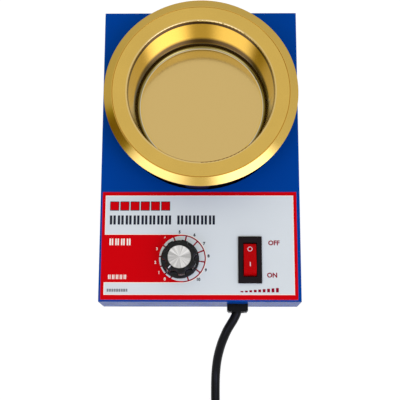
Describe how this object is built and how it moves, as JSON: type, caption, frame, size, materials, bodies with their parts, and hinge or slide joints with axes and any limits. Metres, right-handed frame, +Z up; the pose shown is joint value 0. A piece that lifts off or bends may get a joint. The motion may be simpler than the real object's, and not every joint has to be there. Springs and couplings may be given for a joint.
{
  "type": "solder pot",
  "caption": "Bench solder pot: round gold-coloured crucible in a black jacket on a blue steel case, with a heat dial, a rocker switch and a mains cord with its plug.",
  "frame": {"origin": "middle of the case's footprint, on the table under the rubber feet", "axes": "+Z up; +Y towards the back, where the crucible is; +X to the right of someone who faces the control panel"},
  "size_m": [0.1477, 0.4025, 0.0734],
  "materials": {
    "black_enamel": "black heat-proof enamel",
    "black_plastic": "moulded",
    "blue_enamel": "glossy baked enamel",
    "blue_enamel_base": "satin baked enamel",
    "board_green": "solder mask",
    "capacitor_yellow": "dipped",
    "ceramic_wool": "ceramic fibre",
    "chip_black": "moulded",
    "choke_copper": "enamelled winding",
    "cord_black": "cord sheath",
    "foot_rubber": "matt rubber",
    "glass_sleeve": "woven glass sleeve",
    "gold_coating": "turned, gold-coloured coating",
    "label_print": "printed film",
    "mica": "mica band in a steel sheath",
    "pin_nickel": "nickel plated",
    "plain_steel": "plain sheet",
    "plug_black": "moulded",
    "relief_black": "moulded nylon",
    "sink_aluminium": "extruded",
    "spun_aluminium": "spun finish",
    "switch_black": "moulded",
    "switch_red": "moulded",
    "terminal_brass": "plain",
    "tie_white": "twist tie",
    "white_nylon": "moulded",
    "white_paint": "painted line",
    "wire_blue": "wire sheath",
    "wire_brown": "wire sheath",
    "wire_green": "wire sheath",
    "wire_grey": "wire sheath",
    "zinc_steel": "zinc plated"
  },
  "bodies": {
    "case": {"top_cover": "blue_enamel", "base_plate": "blue_enamel_base", "rubber_feet": "foot_rubber", "foot_screws": "zinc_steel", "foot_nuts": "zinc_steel", "cover_screws": "zinc_steel", "control_label": "label_print", "crucible": "gold_coating", "crucible_washer": "zinc_steel", "crucible_nut": "zinc_steel", "heater_band": "mica", "clamp_screw": "zinc_steel", "clamp_nut": "zinc_steel", "heater_leads": "glass_sleeve", "insulation_wrap": "ceramic_wool", "insulation_disc": "ceramic_wool", "heat_jacket": "black_enamel", "jacket_floor": "plain_steel", "jacket_rivets": "plain_steel", "jacket_spacers": "zinc_steel", "jacket_bolts": "zinc_steel", "jacket_nuts": "zinc_steel", "potentiometer": "zinc_steel", "bush_washer": "zinc_steel", "bush_nut": "zinc_steel", "switch_housing": "switch_black", "switch_terminals": "terminal_brass", "control_board": "board_green", "board_spacers": "white_nylon", "board_screws": "zinc_steel", "heat_sink": "sink_aluminium", "triac": "chip_black", "triac_screw": "zinc_steel", "capacitor": "capacitor_yellow", "choke_coil": "choke_copper", "dial_wires": "wire_grey", "terminal_block": "white_nylon", "terminal_screws": "terminal_brass", "block_screws": "zinc_steel", "live_wires": "wire_brown", "neutral_wires": "wire_blue", "earth_wire": "wire_green", "earth_screw": "terminal_brass", "earth_nut": "terminal_brass", "strain_relief": "relief_black", "cord_inner_end": "cord_black", "mains_cord": "cord_black", "cord_coil": "cord_black", "coil_tie": "tie_white", "plug_lead": "cord_black", "plug_body": "plug_black", "plug_pins": "pin_nickel", "plug_earth_clips": "pin_nickel"},
    "knob": {"knob_shaft": "zinc_steel", "control_knob": "black_plastic", "knob_cap": "spun_aluminium", "knob_pointer": "white_paint", "knob_set_screw": "zinc_steel"},
    "rocker": {"switch_rocker": "switch_red"}
  },
  "joints": [
    {"name": "knob_turn", "type": "hinge", "parent": "case", "child": "knob", "pos_m": [-0.0135, -0.076, 0.052], "axis": [0, 0, 1], "range_deg": [-286, 14]},
    {"name": "rocker_tilt", "type": "hinge", "parent": "case", "child": "rocker", "pos_m": [0.0342, -0.0761, 0.0399], "axis": [1, 0, 0], "range_deg": [0, 30]}
  ]
}
